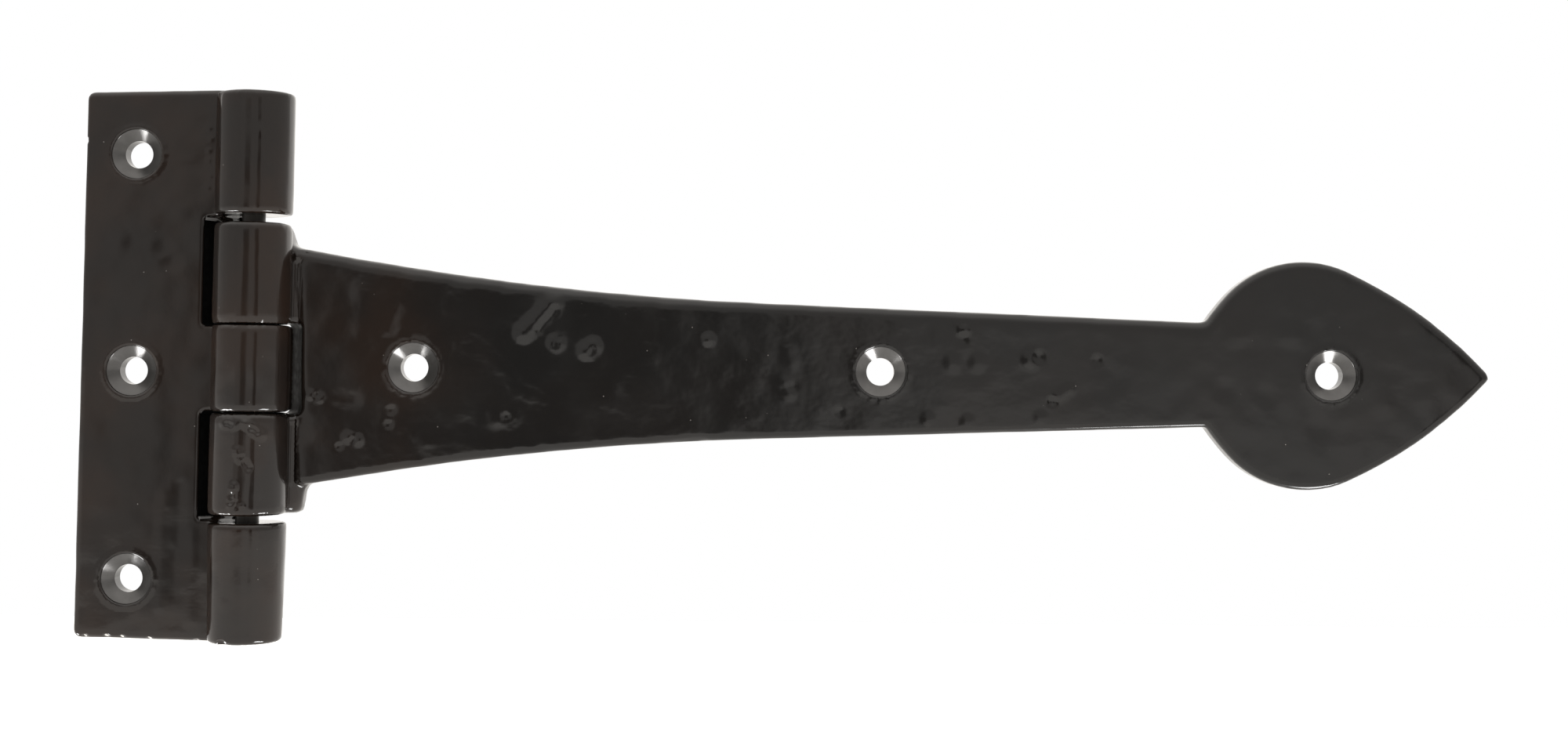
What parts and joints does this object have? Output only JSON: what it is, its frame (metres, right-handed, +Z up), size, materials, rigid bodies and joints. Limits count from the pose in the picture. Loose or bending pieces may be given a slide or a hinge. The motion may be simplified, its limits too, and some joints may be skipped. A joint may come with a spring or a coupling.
{
  "type": "tee hinge",
  "caption": "Black cast tee hinge: an upright screw plate, a long tapering strap with a spear-shaped end, and a pin through interleaved barrel knuckles.",
  "frame": {"origin": "midway between the frame leaf's top and bottom screw holes, on its back face", "axes": "+Z up along the pin, +X along the strap away from the frame leaf, +Y out of the flat backs into the frame and door"},
  "size_m": [0.3053, 0.0166, 0.1198],
  "materials": {
    "black_casting": "gloss",
    "black_pin": "gloss"
  },
  "bodies": {
    "frame_side": {"frame_leaf": "black_casting", "hinge_pin": "black_pin"},
    "strap_side": {"strap": "black_casting"}
  },
  "joints": [
    {"name": "strap_swing", "type": "hinge", "parent": "frame_side", "child": "strap_side", "pos_m": [0.0265, -0.0083, 0], "axis": [0, 0, -1], "range_deg": [-74, 185]}
  ]
}
